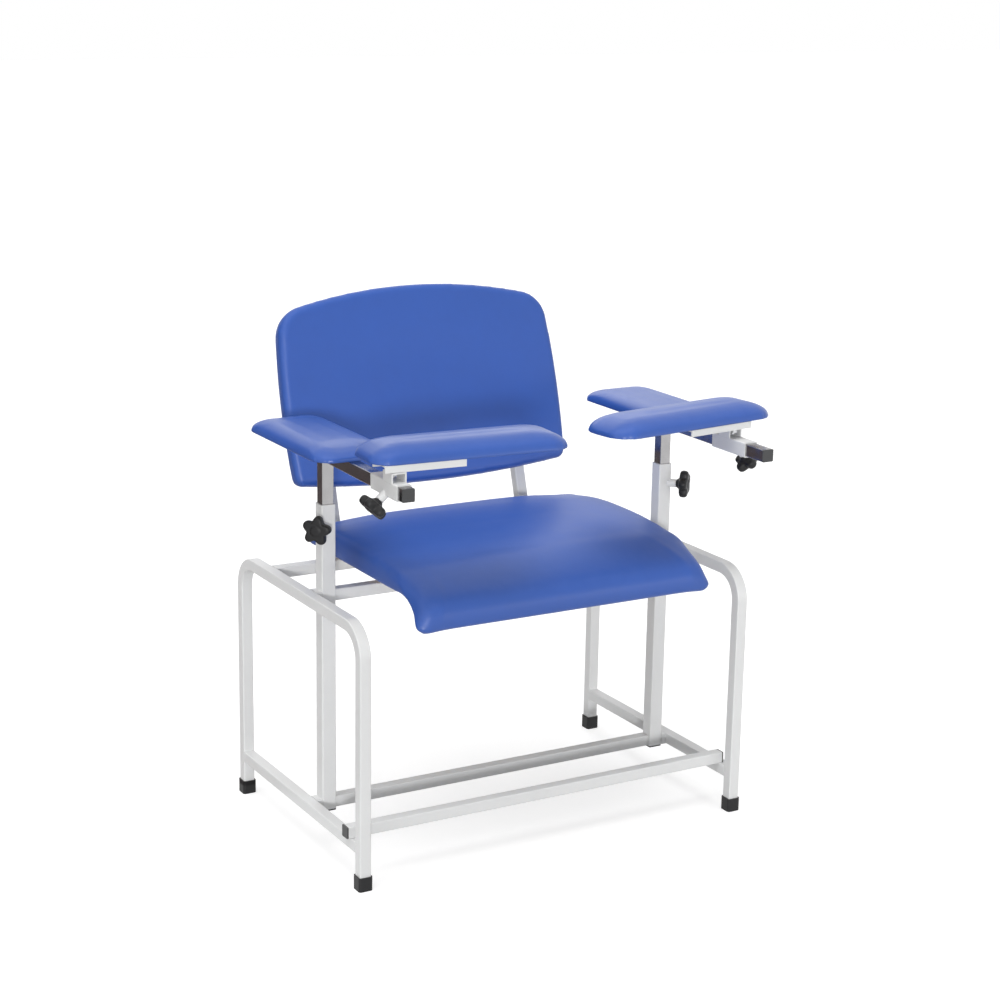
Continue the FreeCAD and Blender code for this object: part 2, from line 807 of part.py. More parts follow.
    # Bolt with a square neck in the channel, and its nut.
    web_bottom = collar_top
    pad_bottom = web_bottom + plate
    nut_bottom = bracket_top - plate - nut_height
    bolt = rod(bolt_radius, up * (nut_bottom - bolt_tail), up * pad_bottom)
    neck = box(-bolt_radius, bolt_radius, -bolt_radius, bolt_radius, web_bottom, pad_bottom)
    head = Part.makeCylinder(bolt_head_radius, bolt_head_height, up * pad_bottom)
    head_rim = [edge for edge in head.Edges if edge.BoundBox.ZMin > pad_bottom]
    head = head.makeFillet(bolt_head_height / 2, head_rim)
    put("pivot_bolt", about_pivot(joined([bolt, neck, head])))
    nut_points = []
    nut_reach = nut_flats / 2 / math.cos(math.pi / 6)
    for count in range(7):
        angle = count * math.pi / 3
        nut_points.append(V(nut_reach * math.cos(angle), nut_reach * math.sin(angle), nut_bottom))
    nut = Part.Face(Part.makePolygon(nut_points)).extrude(up * nut_height)
    nut_bore = rod(bolt_radius + bolt_gap, up * (nut_bottom - overrun), up * (bracket_top + overrun))
    put("pivot_nut", about_pivot(nut.cut(nut_bore)))

    # Channel with a square hole for the bolt's neck and a slot for each screw.
    inner_end = channel_end - channel_length
    channel_middle = (inner_end + channel_end) / 2
    channel_rear = channel_width - channel_lead
    channel_base = pad_bottom - channel_height
    channel = box(inner_end, channel_end, -channel_lead, channel_rear, channel_base, pad_bottom)
    hollow = box(inner_end - overrun, channel_end + overrun, plate - channel_lead, channel_rear - plate,
                 channel_base - overrun, web_bottom)
    neck_room = bolt_radius + bolt_gap
    neck_hole = box(-neck_room, neck_room, -neck_room, neck_room, web_bottom - overrun, pad_bottom + overrun)
    slot_width = screw_radius + screw_radius + slot_gap + slot_gap
    slots = []
    pad_screw_places = []
    for step in (-1, 1):
        slot = prism(pad_travel + slot_width, slot_width, slot_width / 2 - slot_gap / 2,
                     web_bottom - overrun, pad_bottom + overrun)
        slot.translate(V(channel_middle + step * pad_screw_half_spacing, pad_screw_setback, 0))
        slots.append(slot)
        screw_x = channel_middle + step * pad_screw_half_spacing + pad_shift[side] - pad_travel / 2
        pad_screw_places.append(V(screw_x, pad_screw_setback, web_bottom))
    put("pad_channel", about_pivot(channel.cut([hollow, neck_hole] + slots)))
    pad_screw_length = plate + pad_screw_bite
    pad_holes = [placed(screw_hole(pad_screw_length), place, up) for place in pad_screw_places]
    screws = [placed(screw(pad_screw_length, pad_screw_head), place, up) for place in pad_screw_places]
    put("front_pad_screws", about_pivot(Part.makeCompound(screws)))

    # Front pad on its board, with room for the bolt's head all along its travel.
    pad_centre = V(channel_middle - pad_length / 2 + pad_outer_reach + pad_shift[side], pad_setback, 0)
    board_length = pad_length - pad_board_inset * 2
    board_width = pad_width - pad_board_inset * 2
    board_corner = pad_corner - pad_board_inset
    board = prism(board_length, board_width, board_corner, pad_bottom, pad_bottom + pad_board_thickness)
    board.translate(pad_centre)
    head_width = (bolt_head_radius + head_recess_gap) * 2
    head_room = prism(pad_travel + head_width, head_width, head_width / 2 - slot_gap / 2,
                      pad_bottom - overrun, pad_bottom + bolt_head_height + head_recess_rise)
    head_room.translate(V(pad_shift[side] - pad_travel / 2, 0, 0))
    put("front_pad_board", about_pivot(board.cut([head_room] + pad_holes)))
    pad = soft_pad(pad_length, pad_width, pad_thickness, pad_corner, pad_rise, pad_inset)
    pad.translate(pad_centre + up * pad_bottom)
    recess = prism(board_length + board_gap * 2, board_width + board_gap * 2, board_corner + board_gap,
                   pad_bottom - overrun, pad_bottom + pad_board_thickness + board_gap)
    recess.translate(pad_centre)
    put("front_pad", about_pivot(pad.cut(recess)))

    # Clamp screws and star knobs of the post and of the sleeve.
    put("post_knob", clamp_knob(post_clamp_point, post_direction))
    put("post_knob_screw", clamp_screw(post_clamp_point, post_direction))
    put("sleeve_knob", swung(clamp_knob(sleeve_clamp_point, sleeve_direction)))
    put("sleeve_knob_screw", swung(clamp_screw(sleeve_clamp_point, sleeve_direction)))


for side in ("left", "right"):
    arm(side)
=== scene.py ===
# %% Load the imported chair
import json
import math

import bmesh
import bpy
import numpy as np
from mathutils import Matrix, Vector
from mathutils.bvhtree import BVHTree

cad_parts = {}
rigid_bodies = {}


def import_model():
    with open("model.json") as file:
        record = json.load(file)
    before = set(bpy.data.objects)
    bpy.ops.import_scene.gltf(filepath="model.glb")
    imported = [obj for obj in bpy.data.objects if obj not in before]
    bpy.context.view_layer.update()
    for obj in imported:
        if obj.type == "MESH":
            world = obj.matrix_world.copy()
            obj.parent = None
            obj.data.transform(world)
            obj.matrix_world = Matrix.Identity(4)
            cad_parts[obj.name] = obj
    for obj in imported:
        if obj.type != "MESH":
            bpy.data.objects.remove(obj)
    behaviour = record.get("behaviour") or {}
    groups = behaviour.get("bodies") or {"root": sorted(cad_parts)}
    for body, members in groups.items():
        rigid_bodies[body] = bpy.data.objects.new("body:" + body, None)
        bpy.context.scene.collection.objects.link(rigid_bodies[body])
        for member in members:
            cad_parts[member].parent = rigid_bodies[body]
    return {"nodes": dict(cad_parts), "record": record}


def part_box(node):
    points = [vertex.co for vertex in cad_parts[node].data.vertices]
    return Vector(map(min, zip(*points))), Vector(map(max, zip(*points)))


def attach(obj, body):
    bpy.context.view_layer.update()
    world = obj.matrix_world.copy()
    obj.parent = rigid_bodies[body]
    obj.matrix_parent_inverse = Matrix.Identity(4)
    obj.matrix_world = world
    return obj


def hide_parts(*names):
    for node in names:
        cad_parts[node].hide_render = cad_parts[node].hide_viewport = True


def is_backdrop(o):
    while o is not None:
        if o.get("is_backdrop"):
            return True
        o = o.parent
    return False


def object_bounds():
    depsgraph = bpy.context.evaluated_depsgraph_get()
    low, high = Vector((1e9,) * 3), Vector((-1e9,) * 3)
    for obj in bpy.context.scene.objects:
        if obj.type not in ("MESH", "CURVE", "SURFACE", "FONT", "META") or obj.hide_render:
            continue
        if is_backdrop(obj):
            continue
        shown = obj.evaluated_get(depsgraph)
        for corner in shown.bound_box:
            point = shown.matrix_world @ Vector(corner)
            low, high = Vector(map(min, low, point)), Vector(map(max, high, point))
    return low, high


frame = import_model()

# %% [markdown]
# This file dresses a blood-drawing chair. The solid model is already here, one
# Blender object for each piece of metal, wood and plastic, and those keep their
# shape. What is made here is what a solid modeller is poor at: the six cushions,
# the fat lobes of the four star knobs, and every surface finish. Lengths are in
# metres, -Y is the front of the chair and Z is up. The first thing kept is the
# size of the model as it arrived, because the dressed chair must not grow out
# of it.

cad_low, cad_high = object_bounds()
nodes = frame["nodes"]
joints = {joint["name"]: joint for joint in frame["record"]["behaviour"]["joints"]}
scene = bpy.context.scene
print("pieces loaded:", len(nodes))
print("size at the start:", [round(v, 3) for v in cad_high - cad_low])

# %% [markdown]
# The camera comes first, since every later choice is judged through it. Its
# place was found by matching the straight edges of the tubes. A long lens far
# from the chair keeps the tubes almost parallel. The turn is given as yaw,
# pitch and roll, and the three axes are built from them one after another,
# which is easier to follow than three mixed Euler angles.

# %% Camera
eye = Vector((-2.2525, -3.9385, 1.8613))
yaw = math.radians(-29.978)
pitch = math.radians(14.371)
roll = math.radians(1.0004)
ahead = Vector((-math.sin(yaw) * math.cos(pitch), math.cos(yaw) * math.cos(pitch), -math.sin(pitch)))
level = Vector((math.cos(yaw), math.sin(yaw), 0))
upward = level.cross(ahead)
camera_x = level * math.cos(roll) + upward * math.sin(roll)
camera_y = upward * math.cos(roll) - level * math.sin(roll)
turn = Matrix((camera_x, camera_y, -ahead)).transposed().to_4x4()
camera = bpy.data.objects.new("camera", bpy.data.cameras.new("camera"))
camera.data.lens = 77.50
camera.data.sensor_width = 36
camera.data.clip_end = 200  # past the floor's far corners
camera.matrix_world = Matrix.Translation(eye) @ turn
scene.collection.objects.link(camera)
scene.camera = camera
print("camera looks along", [round(v, 3) for v in ahead])

# %% [markdown]
# A cushion on this chair is foam glued to a plywood board, with vinyl pulled
# over it and stapled underneath. Pulled vinyl has no flat faces and no sharp
# edges. It could be sculpted by hand, but cloth that is blown up from inside
# finds the same form by itself. The solid is first rebuilt as an even mesh of
# small squares, because cloth needs squares of one size to stretch evenly. A
# piece that leans or is turned is stood square to the axes for that, so that
# the squares follow its faces. Each point is then put back on the solid's own
# surface, which takes out the little steps that the rebuilding leaves. The board
# is rebuilt together with its foam, so that the skin closes underneath.

# %% Even mesh from a solid
def points_of(mesh):
    flat = np.empty(len(mesh.vertices) * 3)
    mesh.vertices.foreach_get("co", flat)
    return flat.reshape(-1, 3)


def set_points(mesh, points):
    mesh.vertices.foreach_set("co", np.asarray(points, float).ravel())
    mesh.update()


def search_tree(mesh):
    return BVHTree.FromPolygons([v.co for v in mesh.vertices], [p.vertices for p in mesh.polygons])


def even_mesh(name, source, board, square, upright):
    """Foam and board as one skin of even squares. upright is the turn that stands the piece square."""
    corners, faces = [], []
    for solid_name in (source, board):
        part = nodes[solid_name].data
        faces += [[len(corners) + i for i in face.vertices] for face in part.polygons]
        corners += [v.co for v in part.vertices]
    solid = bpy.data.meshes.new(name)
    solid.from_pydata(corners, [], faces)
    solid.transform(upright)
    piece = bpy.data.objects.new(name, solid)
    scene.collection.objects.link(piece)
    rebuild = piece.modifiers.new("squares", "REMESH")
    rebuild.mode = "VOXEL"
    rebuild.voxel_size = square
    graph = bpy.context.evaluated_depsgraph_get()
    even = bpy.data.meshes.new_from_object(piece.evaluated_get(graph))
    piece.modifiers.clear()
    tree = search_tree(solid)
    points = points_of(even)
    for index, spot in enumerate(points):
        points[index] = tree.find_nearest(Vector(spot))[0]
    set_points(even, points)
    piece.data = even
    print(name, "has", len(points), "points")
    return piece, tree


# %% [markdown]
# Four small tools work on a cushion's points. The first moves each point
# toward the average of its neighbours a few times, which rounds an edge the
# way foam does. A point that is held, here one that rests on the board, keeps
# its place. The second gives each point's outward direction. The third is a
# smooth bump, used as a brush: a Gaussian has no edge that could show as a
# line. The last is a smooth step from 0 to 1.

# %% Smoothing, outward directions, a soft brush and a soft step
ease = 0.6  # how far a point goes toward its neighbours' average in one round


def smoothed(mesh, points, held, rounds):
    edges = np.empty(len(mesh.edges) * 2, int)
    mesh.edges.foreach_get("vertices", edges)
    a, b = edges.reshape(-1, 2).T
    count = np.bincount(a, minlength=len(points)) + np.bincount(b, minlength=len(points))
    free = (1 - held)[:, None]
    for _ in range(rounds):
        total = np.zeros_like(points)
        np.add.at(total, a, points[b])
        np.add.at(total, b, points[a])
        points = points + (total / count[:, None] - points) * ease * free
    return points


def outward(mesh):
    flat = np.empty(len(mesh.vertices) * 3)
    mesh.vertices.foreach_get("normal", flat)
    return flat.reshape(-1, 3)


def brush(spots, at, reach):
    """1 at a place, fading to 0 over the reach in each direction. None leaves a direction out."""
    weight = np.zeros(len(spots))
    for axis in range(3):
        if at[axis] is not None:
            weight += ((spots[:, axis] - at[axis]) / reach[axis]) ** 2
    return np.exp(-weight)


def fade(values, start, end):
    """0 up to start, 1 from end, and a smooth step between them."""
    share = np.clip((values - start) / (end - start), 0, 1)
    return share * share * (3 - 2 * share)


# %% [markdown]
# Now the cloth. Pressure pushes every free point outward while the mesh's own
# threads pull back, so faces swell and edges stay where they are. Gravity is
# off, since foam carries the vinyl. Twenty frames are enough to settle. A cap
# on how far a point may move keeps the cushion as thick as the real one: foam
# holds its cover in, where air would blow it up like a balloon. The cushion
# starts a little smaller than the solid, so that it ends at the solid's size.

# %% Cloth that swells
settle_frames = 20
start_short = 0.7  # how far below the solid the cloth starts, as a share of its cap
pressure = 4
stiffness = 14


def swell(piece, points, held, cap):
    set_points(piece.data, points)
    small = points - outward(piece.data) * (cap * start_short * (1 - held))[:, None]
    set_points(piece.data, small)
    group = piece.vertex_groups.new(name="held")
    for index in np.nonzero(held > 0)[0]:
        group.add([int(index)], float(held[index]), "REPLACE")
    cloth = piece.modifiers.new("cloth", "CLOTH")
    settings = cloth.settings
    settings.quality = 4
    settings.mass = 0.4
    settings.air_damping = 4
    settings.tension_stiffness = stiffness
    settings.compression_stiffness = stiffness
    settings.shear_stiffness = stiffness / 2
    settings.bending_stiffness = 6
    settings.use_pressure = True
    settings.uniform_pressure_force = pressure
    settings.vertex_group_mass = "held"
    settings.effector_weights.gravity = 0
    cloth.collision_settings.use_collision = False
    for number in range(1, settle_frames + 1):
        scene.frame_set(number)
    graph = bpy.context.evaluated_depsgraph_get()
    moved = points_of(piece.evaluated_get(graph).data) - small
    piece.modifiers.clear()
    piece.vertex_groups.clear()
    scene.frame_set(1)
    length = np.maximum(np.linalg.norm(moved, axis=1, keepdims=True), 1e-9)
    moved *= cap * np.tanh(length / cap) / length
    mean_move = float(np.linalg.norm(moved, axis=1).mean())
    print(piece.name, "moved by", round(mean_move * 1000, 2), "mm on average")
    return small + moved


# %% [markdown]
# Threads that pull also round the edges more than foam would, and the cushion
# ends a little short of its real outline. So each point is measured against
# the solid. The shortfall is averaged with the neighbours' and given back
# along the outward direction. The form regains its size and keeps its
# roundness, because only the even part of the shortfall is returned.

# %% Back to full size
def full_size(piece, points, tree, held, spread):
    for _ in range(3):
        set_points(piece.data, points)
        away = outward(piece.data)
        short = np.zeros((len(points), 1))
        for index, spot in enumerate(points):
            place, normal, _, _ = tree.find_nearest(Vector(spot))
            short[index] = (place - Vector(spot)).dot(normal)
        short = smoothed(piece.data, short, np.zeros(len(points)), spread)
        points = points + away * short * (1 - held)[:, None]
    return points


# %% [markdown]
# A swollen cushion may press into the board that it is made on, or into a
# neighbour. Each point that ends up inside another piece is moved to that
# piece's surface and a little beyond. A search tree of the other piece's faces
# gives the nearest place and which side of it the cushion's point is on. Only
# points near the other piece are asked, because each question takes time.

# %% Clear of the neighbours
near_by = 0.01


def cleared(points, others, gap):
    for name in others:
        tree = search_tree(nodes[name].data)
        low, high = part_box(name)
        low, high = np.array(low) - near_by, np.array(high) + near_by
        near = np.nonzero(((points > low) & (points < high)).all(1))[0]
        for index in near:
            spot = Vector(points[index])
            place, normal, _, distance = tree.find_nearest(spot)
            if distance < gap or (spot - place).dot(normal) < -0.5 * distance:
                points[index] = place + normal * gap
    return points


# %% [markdown]
# Underneath, the board shows. The skin's points that lie across the board's
# underside are pushed up past the board, to its upper face, and those at its
# rim are moved beside it. That leaves the tray of vinyl and foam that the
# board sits in.

# %% Tray for the board
face_band = 0.003  # points this near to the resting face lie on it
look_back = 0.02
look_far = 0.06
above_board = 0.0005


def tray(points, board, rest, depth, inward):
    """Pushes the points on the resting face up past the board. inward is the way up from that face."""
    tree = search_tree(nodes[board].data)
    inward = np.array(inward)
    level = (points * inward).sum(1)
    for index in np.nonzero(level < rest + face_band)[0]:
        start = Vector(points[index] - inward * look_back)
        hit, _, _, _ = tree.ray_cast(start, Vector(inward), look_far)
        if hit is not None:
            points[index] += inward * (rest + depth + above_board - level[index])
    return points


# %% [markdown]
# One function takes a cushion through all the steps. Which points are held,
# which keep their shape when the rest is smoothed once more, and how the form
# is touched up, are said by small functions of each point's place in the
# upright directions. The last step adds a subdivision, which turns the small
# squares into a smooth skin.

# %% A whole cushion
extra_rounds = 45
skin_gap = 0.0004  # between the vinyl and its neighbours


def cushion(name, source, board, body, square, upright, up, held_at, beside, shaping=None, *,
            rounding, cap=0.004, spread=8, keeps_shape=None):
    piece, tree = even_mesh(name, source, board, square, upright)
    mesh = piece.data
    points = points_of(mesh)
    low, high = points.min(0), points.max(0)
    held = held_at(points, low, high)
    points = smoothed(mesh, points, held, rounding)
    points = swell(piece, points, held, cap)
    points = full_size(piece, smoothed(mesh, points, held, 3), tree, held, spread)
    if keeps_shape is not None:
        points = smoothed(mesh, points, keeps_shape(points, low, high), extra_rounds)
    if shaping is not None:
        set_points(mesh, points)
        points = points + shaping(points, outward(mesh), low, high)
    set_points(mesh, points)
    back = upright.inverted()
    mesh.transform(back)
    points = points_of(mesh)
    way = np.array(back.to_3x3() @ Vector(up))
    levels = np.array([v.co for v in nodes[board].data.vertices]) @ way
    points = tray(points, board, levels.min(), levels.max() - levels.min(), way)
    set_points(mesh, cleared(points, [board, *beside], skin_gap))
    for face in mesh.polygons:
        face.use_smooth = True
    skin = piece.modifiers.new("skin", "SUBSURF")
    skin.levels = 1
    skin.render_levels = 1
    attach(piece, body)
    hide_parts(source)
    cad_box = np.array(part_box(source))
    print(name, "against its solid, mm:", np.round((points.min(0) - cad_box[0]) * 1000, 1),
          np.round((points.max(0) - cad_box[1]) * 1000, 1))
    return piece


# %% [markdown]
# The backrest leans back by 17 degrees. Its rear, where the board lies, is held
# and the front is left free to crown. No point moves by more than 4 mm, because
# the photograph shows a firm, even cushion with a soft rounded border.

# %% Backrest
straight = Matrix.Identity(4)
backrest_lean = math.radians(17)
lean = Matrix.Rotation(backrest_lean, 4, "X")


def rear_held(points, low, high):
    return 1 - fade(high[1] - points[:, 1], 0.001, 0.012)


cushion("backrest_cover", "backrest_cushion", "backrest_board", "frame", 0.0065, lean, (0, -1, 0),
        rear_held, ["left_back_rail", "right_back_rail"], rounding=8)

# %% [markdown]
# The seat hangs over its front edge like a waterfall. Its flat underside behind
# that lip is held, and the roll itself is smoothed longer than the rest, since
# the photograph shows no edge on it. The rear corners are lower and rounder
# than the solid's, the front ones flare a little at the tip, and there is a
# slight hollow where a sitter's weight goes. Vinyl that goes round two bends at
# once, as at the front corners, can't lie smooth, so it runs up into a soft
# ridge there.

# %% Seat
seat_board_low, seat_board_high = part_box("seat_board")


def seat_held(points, low, high):
    flat = 1 - fade(points[:, 2], seat_board_low.z + 0.002, seat_board_low.z + 0.012)
    over_x = 1 - fade(np.abs(points[:, 0]), seat_board_high.x, seat_board_high.x + 0.02)
    over_y = fade(points[:, 1], seat_board_low.y - 0.02, seat_board_low.y)
    return flat * over_x * over_y


underside_rise = 0.706  # the roll's inner side climbs this much for each metre backward


def not_the_roll(points, low, high):
    """1 where the seat keeps its shape, 0 on the outer side of its front roll."""
    behind = fade(points[:, 1], low[1] + 0.10, low[1] + 0.16)
    inner_side = low[2] + 0.0085 + underside_rise * (points[:, 1] - low[1] - 0.007)
    return 1 - fade(points[:, 2] - inner_side, 0.002, 0.020) * (1 - behind)


tip_flare, tip_drop = 0.008, 0.004
rear_corner_drop = 0.009
ridge_height = 0.0014
hollow_depth = 0.004


def seat_shape(points, normals, low, high):
    top = fade(points[:, 2], seat_board_low.z + 0.015, seat_board_high.z + 0.03)
    move = np.zeros_like(points)
    for side in (-1, 1):
        tip = brush(points, (side * high[0], low[1] + 0.02, low[2]), (0.035, 0.06, 0.035))
        move[:, 0] += side * tip_flare * tip
        move[:, 2] -= tip_drop * tip
        corner = brush(points, (side * (high[0] - 0.01), high[1] - 0.01, None), (0.10, 0.09, 1))
        move[:, 2] -= rear_corner_drop * corner * top
        along = points[:, 0] - side * (high[0] - 0.045) + side * (points[:, 1] - low[1]) * 0.25
        ridge = np.exp(-(along / 0.010) ** 2) * brush(points, (None, low[1] + 0.02, None), (1, 0.10, 1))
        move += normals * (ridge_height * ridge * fade(points[:, 2], low[2], low[2] + 0.03))[:, None]
    hollow = brush(points, (0, low[1] + 0.33, None), (0.22, 0.17, 1))
    move[:, 2] -= hollow_depth * hollow * top
    return move


cushion("seat_cover", "seat_cushion", "seat_board", "frame", 0.0065, straight, (0, 0, 1), seat_held,
        ["left_back_rail", "right_back_rail", "rear_upper_crossbar", "middle_upper_crossbar"], seat_shape,
        rounding=12, spread=16, keeps_shape=not_the_roll)

# %% [markdown]
# The four arm pads are alike: long, thin boards with foam that thins out toward
# the two ends. Low at the rim the vinyl bulges out over the board's edge. It is
# gathered into small pleats under each corner, where it has to go round a curve
# before it is stapled. The pleats are deepest at the bottom and gone before
# they reach the top. No end may go past the solid's, because the sleeve slides
# close by. Only the right front pad is let out there, since the photograph
# shows it longer and more pointed. The front pads are turned on their pivots.
# That angle is read from the joint that lets the pad slide, since a pad slides
# along its own length.

# %% Arm pads
def bottom_held(points, low, high):
    return 1 - fade(points[:, 2] - low[2], 0.001, 0.006)


rim_bulge = 0.0018
rim_drop = 0.004
end_gap = 0.0005  # how far a pad's ends stay inside the solid's
pleat_wave, pleat_depth = 7, 0.0012


def pad_shape(corner, thinning, point=0.0):
    """A shaping that thins a pad's ends and gathers the cover round its four corners."""
    def shaping(points, normals, low, high):
        move = np.zeros_like(points)
        height = points[:, 2] - low[2]
        to_rim = np.minimum(points[:, :2] - low[:2], high[:2] - points[:, :2])
        long_way = int(high[1] - low[1] > high[0] - low[0])
        at_end = 1 - fade(to_rim[:, long_way], -0.01, 0.08)
        thin = thinning * at_end * fade(height, 0.004, 0.016)
        move[:, 2] = -height * thin
        level = np.hypot(normals[:, 0], normals[:, 1])
        lowest = (1 - fade(height, 0.005, 0.013)) * fade(level, 0.1, 0.4)
        move[:, :2] += normals[:, :2] * (rim_bulge * lowest / np.maximum(level, 0.2))[:, None]
        move[:, 2] -= np.clip(height, 0, rim_drop) * lowest
        side_face = fade(height, 0.001, 0.004) * (1 - fade(height, 0.008, 0.020))
        for x_side, y_side in ((-1, -1), (-1, 1), (1, -1), (1, 1)):
            centre_x = (high[0] - corner) if x_side > 0 else (low[0] + corner)
            centre_y = (high[1] - corner) if y_side > 0 else (low[1] + corner)
            across = (points[:, 0] - centre_x) * x_side
            deep = (points[:, 1] - centre_y) * y_side
            angle = np.arctan2(deep, across)
            inside = fade(angle, 0.0, 0.25) * (1 - fade(angle, math.pi / 2 - 0.25, math.pi / 2))
            far = fade(np.hypot(across, deep), corner * 0.6, corner * 0.85)
            wave = np.abs(np.sin(angle * pleat_wave + x_side * 0.4)) ** 0.7
            move -= normals * (pleat_depth * (1 - wave) * inside * far * side_face)[:, None]
        middle = (low + high) / 2
        off_middle = (points[:, 1 - long_way] - middle[1 - long_way]) / (high - low)[1 - long_way] * 2
        pointed = point * at_end ** 2 * np.maximum(1 - off_middle ** 2, 0)
        near_end, far_end = low[long_way] + end_gap, high[long_way] - end_gap
        along = np.clip(points[:, long_way] + move[:, long_way], near_end, far_end)
        move[:, long_way] = along - points[:, long_way]
        move[:, long_way] += pointed * np.sign(points[:, long_way] - middle[long_way])
        return move
    return shaping


def slide_turn(side):
    x, y, _ = joints[side + "_pad_shift"]["axis"]
    return math.atan(y / x)


front_pad_point = {"left": 0.0, "right": 0.008}
for side in ("left", "right"):
    turned = Matrix.Rotation(-slide_turn(side), 4, "Z")
    cushion(side + "_front_pad_cover", side + "_front_pad", side + "_front_pad_board",
            side + "_front_pad_body", 0.0045, turned, (0, 0, 1), bottom_held, [],
            pad_shape(0.045, 0.24, front_pad_point[side]), cap=0.003, rounding=2)
    cushion(side + "_side_pad_cover", side + "_side_pad", side + "_side_pad_board", side + "_arm", 0.0045,
            straight, (0, 0, 1), bottom_held, [], pad_shape(0.046, 0.30), cap=0.003, rounding=2)

# %% [markdown]
# Star knobs clamp the posts and the sleeves. The real knob is one moulding:
# five fat lobes with a round rim, a cap in front, and a short cone that meets
# the clamp. A lathe can't make the lobes, but the mesh is built as a lathe
# would: rings round an axis. Each ring also has a share of a five-lobed wave,
# none at the hub and the cap and all of it round the rim. The knob turns on
# its joint, so the joint gives the axis, and the CAD knob gives its place.

# %% Star knobs
lobe_count = 5
lobe_height = 5.0
ring_points = 60
cap_top = 29.2
knob_rings = (  # millimetres along the axis, radius, share of the lobes
    (23, 4.1, 0), (0, 4.1, 0), (0, 8.2, 0), (0.7, 9.0, 0), (6.2, 12.6, 0), (7.6, 16.0, 0.15),
    (8.0, 21.0, 0.55), (9.3, 24.4, 0.9), (12.5, 26.2, 1), (17.5, 26.7, 1), (23.0, 26.2, 1),
    (26.4, 24.0, 0.9), (27.7, 20.0, 0.6), (27.3, 14.0, 0.15), (26.7, 11.6, 0), (28.2, 10.4, 0),
    (29.0, 8.0, 0))


def knob_place(side, clamp):
    """The middle of the knob's hub face, the way along its axis, and two ways across, one to a lobe."""
    solid = points_of(nodes[f"{side}_{clamp}_knob"].data)
    joint = joints[f"{side}_{clamp}_knob_turn"]
    centre = np.array(joint["pos_m"])
    along = np.array(joint["axis"])
    along = along / np.linalg.norm(along)
    if (solid.mean(0) - centre) @ along < 0:
        along = -along
    reach = (solid - centre) @ along
    off = solid - centre - np.outer(reach, along)
    first_lobe = off[np.linalg.norm(off, axis=1).argmax()]
    first_lobe = first_lobe / np.linalg.norm(first_lobe)
    return centre + along * reach.min(), along, first_lobe, np.cross(along, first_lobe)


def knob_skin(hub_face, along, first_lobe, across):
    """The corners and faces of the rings, closed at both ends."""
    angle = np.linspace(0, 2 * math.pi, ring_points, endpoint=False)
    valley = (1 - np.cos(angle * lobe_count)) / 2
    wave = 1 - 2 * valley ** 1.4
    turned = np.outer(np.cos(angle), first_lobe) + np.outer(np.sin(angle), across)
    spots = [hub_face + along * knob_rings[0][0] / 1000, hub_face + along * cap_top / 1000]
    for place, radius, share in knob_rings:
        size = (radius + lobe_height * share * wave) / 1000
        spots.extend(hub_face + along * place / 1000 + turned * size[:, None])
    faces = []
    last = 2 + (len(knob_rings) - 1) * ring_points
    for step in range(ring_points):
        after = (step + 1) % ring_points
        faces.append((0, 2 + after, 2 + step))
        faces.append((1, last + step, last + after))
        for ring in range(len(knob_rings) - 1):
            low_ring = 2 + ring * ring_points
            high_ring = low_ring + ring_points
            faces.append((low_ring + step, low_ring + after, high_ring + after, high_ring + step))
    return [tuple(spot) for spot in spots], faces


def star_knob(side, clamp):
    corners, faces = knob_skin(*knob_place(side, clamp))
    mesh = bpy.data.meshes.new(f"{side}_{clamp}_knob_moulding")
    mesh.from_pydata(corners, [], faces)
    shell = bmesh.new()
    shell.from_mesh(mesh)
    bmesh.ops.recalc_face_normals(shell, faces=shell.faces)
    shell.to_mesh(mesh)
    shell.free()
    for face in mesh.polygons:
        face.use_smooth = True
    piece = bpy.data.objects.new(mesh.name, mesh)
    scene.collection.objects.link(piece)
    skin = piece.modifiers.new("skin", "SUBSURF")
    skin.levels = 1
    skin.render_levels = 1
    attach(piece, f"{side}_{clamp}_knob_body")
    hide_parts(f"{side}_{clamp}_knob")
    return piece


knobs = [star_knob(side, clamp) for side in ("left", "right") for clamp in ("post", "sleeve")]
print("knobs:", [piece.name for piece in knobs])

# %% [markdown]
# Finishes are node trees. A few effects turn up in more than one finish: a fine
# grain, worn edges, uneven tone with dust, and hairline scratches. Each is
# built once as a node group with its own inputs and then placed in the
# materials with other values. Small helpers keep that short: one makes an empty
# group, one adds a node and wires it up, and three more add the sums, the
# change of range and the mix of colours that are needed most.

# %% Helpers for node groups
def new_group(name, inputs, outputs):
    tree = bpy.data.node_groups.new(name, "ShaderNodeTree")
    for label, kind, value in inputs:
        socket = tree.interface.new_socket(label, in_out="INPUT", socket_type="NodeSocket" + kind)
        socket.default_value = value
    for label, kind in outputs:
        tree.interface.new_socket(label, in_out="OUTPUT", socket_type="NodeSocket" + kind)
    return tree, tree.nodes.new("NodeGroupInput").outputs, tree.nodes.new("NodeGroupOutput").inputs


def feed(tree, node, wires):
    """wires maps an input's name or number to a plain value or to another node's output."""
    for key, value in wires.items():
        if isinstance(value, bpy.types.NodeSocket):
            tree.links.new(value, node.inputs[key])
        else:
            node.inputs[key].default_value = value


def add(tree, kind, wires=None, **settings):
    node = tree.nodes.new("ShaderNode" + kind)
    for key, value in settings.items():
        setattr(node, key, value)
    feed(tree, node, wires or {})
    return node


def sum_up(tree, operation, first, second):
    return add(tree, "Math", {0: first, 1: second}, operation=operation).outputs[0]


def remap(tree, value, from_low, from_high, to_low, to_high):
    wires = {0: value, 1: from_low, 2: from_high, 3: to_low, 4: to_high}
    return add(tree, "MapRange", wires).outputs[0]


